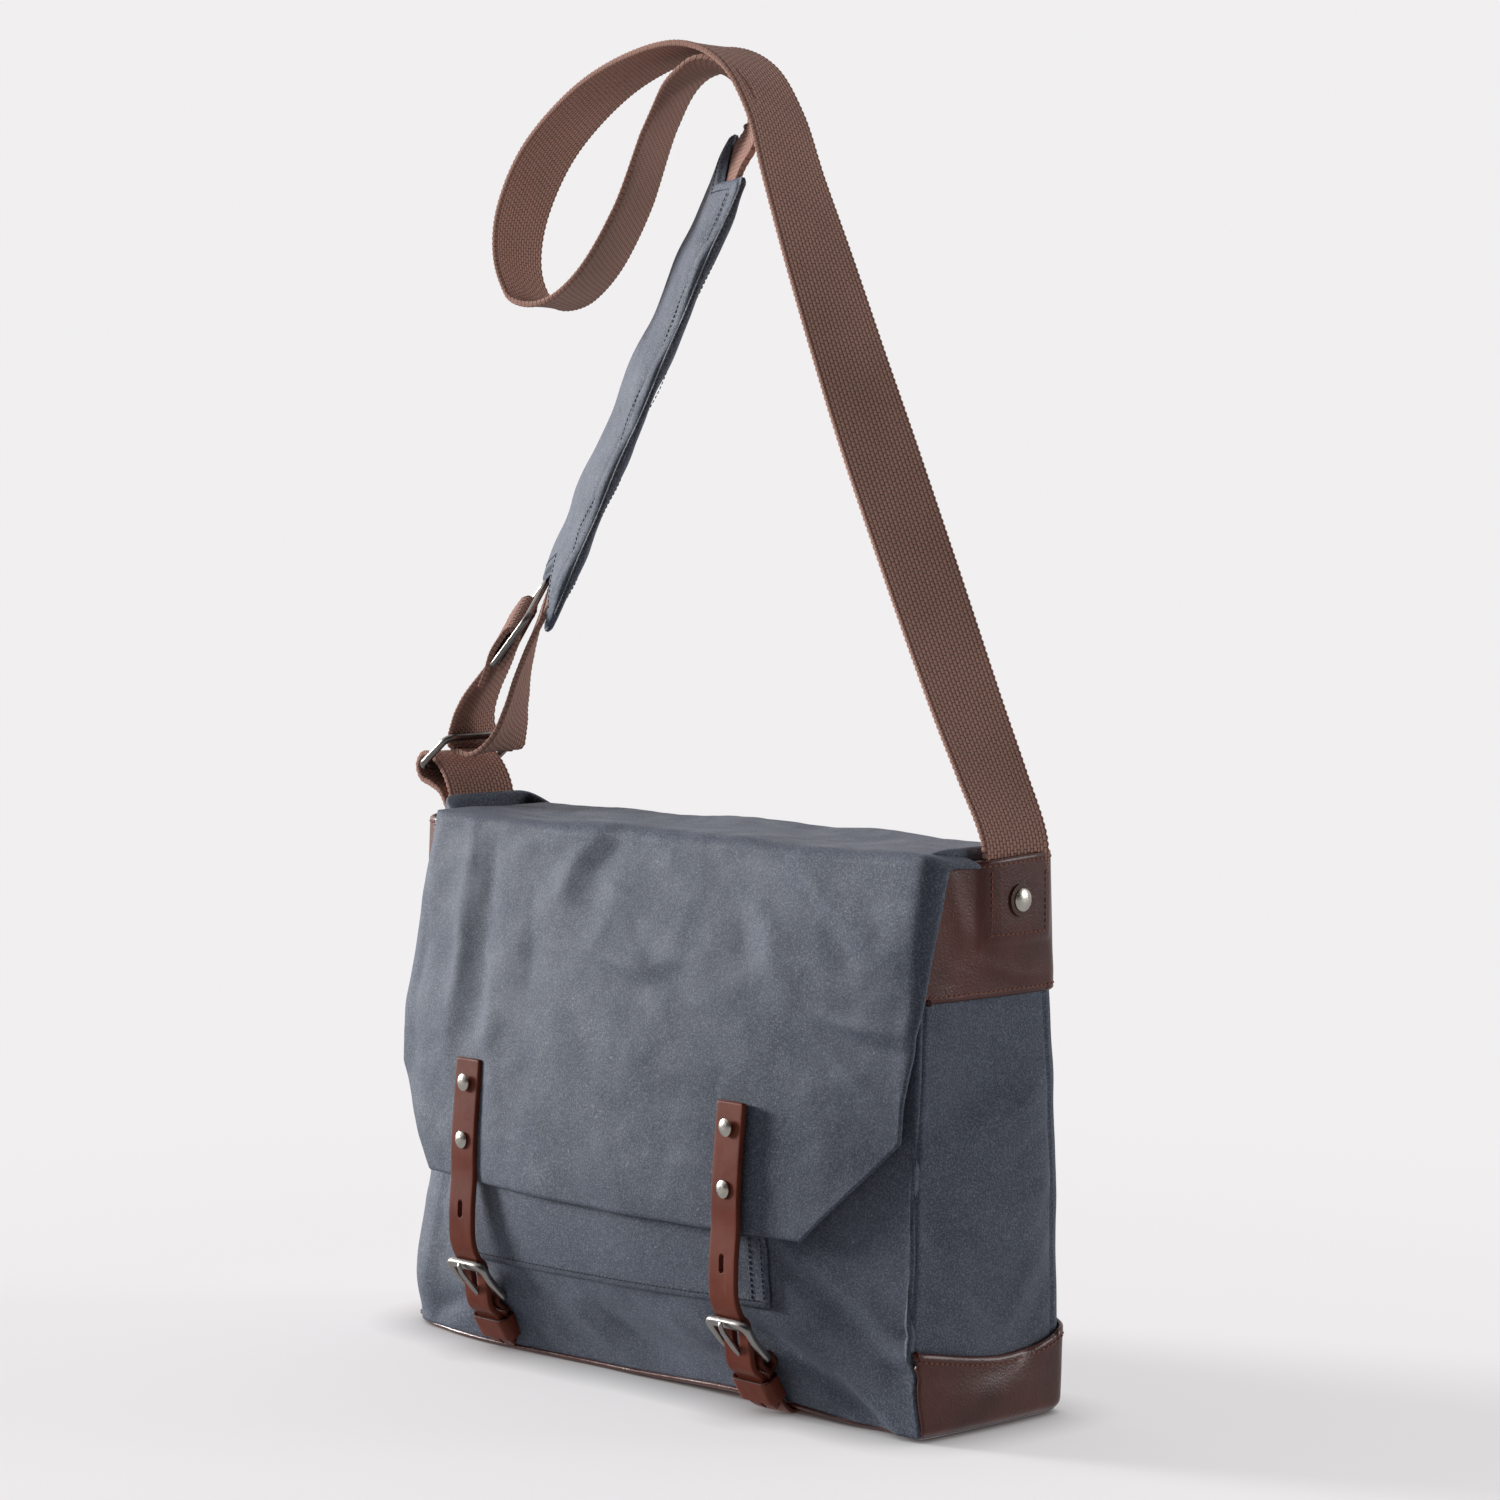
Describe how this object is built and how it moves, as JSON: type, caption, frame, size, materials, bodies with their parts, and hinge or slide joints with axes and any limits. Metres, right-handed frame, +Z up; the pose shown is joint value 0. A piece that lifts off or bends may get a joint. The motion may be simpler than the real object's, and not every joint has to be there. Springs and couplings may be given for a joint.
{
  "type": "messenger bag",
  "caption": "Soft messenger bag with a full flap, leather base, buckled closure straps and a webbing shoulder strap with pad, slider and ring.",
  "frame": {"origin": "middle of the base's underside, on the surface the bag stands on", "axes": "+X towards the bag's right gusset seen from the front, -Y out of the front, +Z up"},
  "size_m": [0.3983, 0.1317, 0.613],
  "materials": {
    "waxed_cotton": "dry waxed cotton, blue-grey, faintly mottled, soft sheen on the folds",
    "cotton_lining": "plain cotton drill, matt",
    "base_leather": "smooth oxblood-brown leather, satin, stitched edges",
    "strap_leather": "reddish-brown vegetable-tanned strap leather with dark cut edges",
    "webbing": "chocolate-brown basket-weave cotton webbing",
    "rivets": "domed nickel-plated caps, satin",
    "hardware": "nickel-plated cast fittings, satin, slightly darkened",
    "board": "stiff black board",
    "foam": "soft pad filling"
  },
  "bodies": {
    "bag": {"front_panel": "waxed_cotton", "back_panel": "waxed_cotton", "gusset_left": "waxed_cotton", "gusset_right": "waxed_cotton", "base_leather": "base_leather", "base_board": "board", "lining": "cotton_lining", "front_pocket": "waxed_cotton", "inner_pocket": "cotton_lining", "webbing_end_left": "webbing", "webbing_end_right": "webbing", "gusset_patch_left": "base_leather", "gusset_patch_right": "base_leather", "patch_washer_left": "strap_leather", "patch_washer_right": "strap_leather", "patch_rivet_left": "rivets", "patch_rivet_right": "rivets", "buckle_anchor_left": "strap_leather", "buckle_anchor_right": "strap_leather", "keeper_left": "strap_leather", "keeper_right": "strap_leather"},
    "flap_top": {"flap_top": "waxed_cotton", "flap_lining_top": "cotton_lining"},
    "flap_front": {"flap_front": "waxed_cotton", "flap_lining_front": "cotton_lining", "closure_strap_left": "strap_leather", "closure_strap_right": "strap_leather", "closure_rivets_left": "rivets", "closure_rivets_right": "rivets"},
    "buckle_left": {"buckle_frame_left": "hardware"},
    "prong_left": {"buckle_prong_left": "hardware"},
    "buckle_right": {"buckle_frame_right": "hardware"},
    "prong_right": {"buckle_prong_right": "hardware"},
    "shoulder_strap": {"webbing_strap": "webbing", "webbing_tab_left": "webbing", "webbing_return": "webbing"},
    "shoulder_pad": {"pad_cover": "waxed_cotton", "pad_foam": "foam"},
    "slider": {"strap_slider": "hardware"},
    "ring": {"strap_ring": "hardware"}
  },
  "joints": [
    {"name": "flap_top_hinge", "type": "hinge", "parent": "bag", "child": "flap_top", "pos_m": [0, 0.039, 0.253], "axis": [-1, 0, 0], "range_deg": [0, 25]},
    {"name": "flap_front_hinge", "type": "hinge", "parent": "flap_top", "child": "flap_front", "pos_m": [0, -0.0431, 0.253], "axis": [-1, 0, 0], "range_deg": [0, 150], "deforming": ["closure_strap_left", "closure_strap_right"]},
    {"name": "buckle_left_pivot", "type": "hinge", "parent": "bag", "child": "buckle_left", "pos_m": [-0.091, -0.06, 0.0265], "axis": [1, 0, 0], "range_deg": [0, 25]},
    {"name": "prong_left_pivot", "type": "hinge", "parent": "buckle_left", "child": "prong_left", "pos_m": [-0.091, -0.06, 0.0265], "axis": [1, 0, 0], "range_deg": [0, 60]},
    {"name": "buckle_right_pivot", "type": "hinge", "parent": "bag", "child": "buckle_right", "pos_m": [0.091, -0.06, 0.0265], "axis": [1, 0, 0], "range_deg": [0, 25]},
    {"name": "prong_right_pivot", "type": "hinge", "parent": "buckle_right", "child": "prong_right", "pos_m": [0.091, -0.06, 0.0265], "axis": [1, 0, 0], "range_deg": [0, 60]},
    {"name": "shoulder_strap_swing", "type": "hinge", "parent": "bag", "child": "shoulder_strap", "pos_m": [0, 0.01, 0.278], "axis": [-1, 0, 0], "range_deg": [-60, 60]},
    {"name": "pad_slide", "type": "slide", "parent": "shoulder_strap", "child": "shoulder_pad", "axis": [0.5547, 0, 0.8321], "range_m": [0, 0.015]},
    {"name": "slider_slide", "type": "slide", "parent": "shoulder_strap", "child": "slider", "axis": [0.5547, 0, 0.8321], "range_m": [-0.025, 0], "deforming": ["webbing_return"]},
    {"name": "ring_pivot", "type": "hinge", "parent": "shoulder_strap", "child": "ring", "pos_m": [-0.203, 0.01, 0.27], "axis": [0, 1, 0], "range_deg": [-6, 6]}
  ]
}
